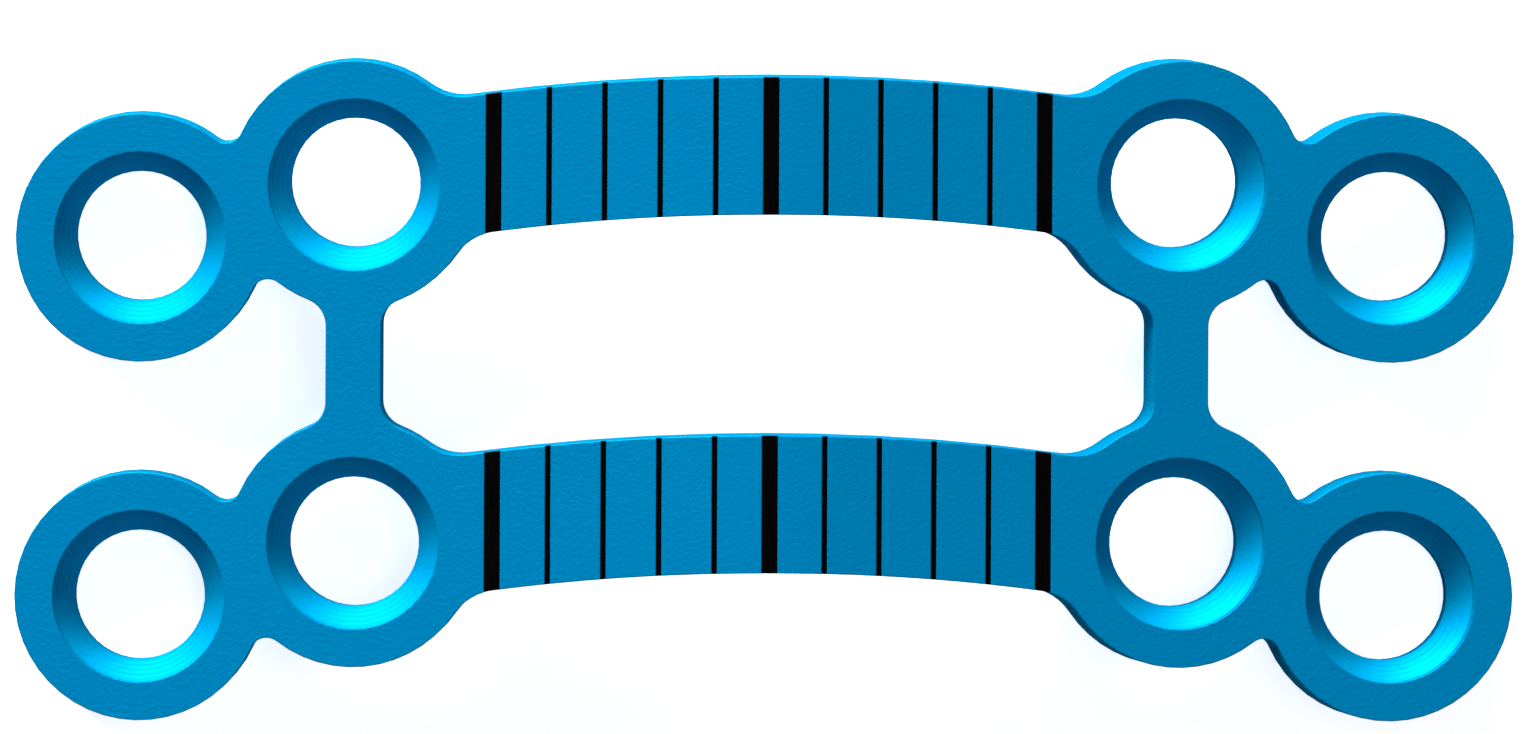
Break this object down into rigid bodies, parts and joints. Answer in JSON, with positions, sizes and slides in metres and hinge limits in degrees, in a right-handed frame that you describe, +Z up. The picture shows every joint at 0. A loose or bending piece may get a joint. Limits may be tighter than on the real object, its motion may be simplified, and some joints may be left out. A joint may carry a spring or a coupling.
{
  "type": "bone plate",
  "caption": "Small bent bone plate: two arched graduated bars joined by struts, with countersunk screw lobes at both ends.",
  "frame": {"origin": "on the surface the plate lies on with its two ends, under the middle of its box", "axes": "+X along the plate, +Y across it towards the crowns of the arched bars, +Z up, out of the side that the screw heads sink into"},
  "size_m": [0.0272, 0.012, 0.0026],
  "materials": {
    "anodised_titanium": "satin",
    "laser_marking": "matte"
  },
  "bodies": {
    "root": {"bone_plate": "anodised_titanium"}
  },
  "joints": []
}
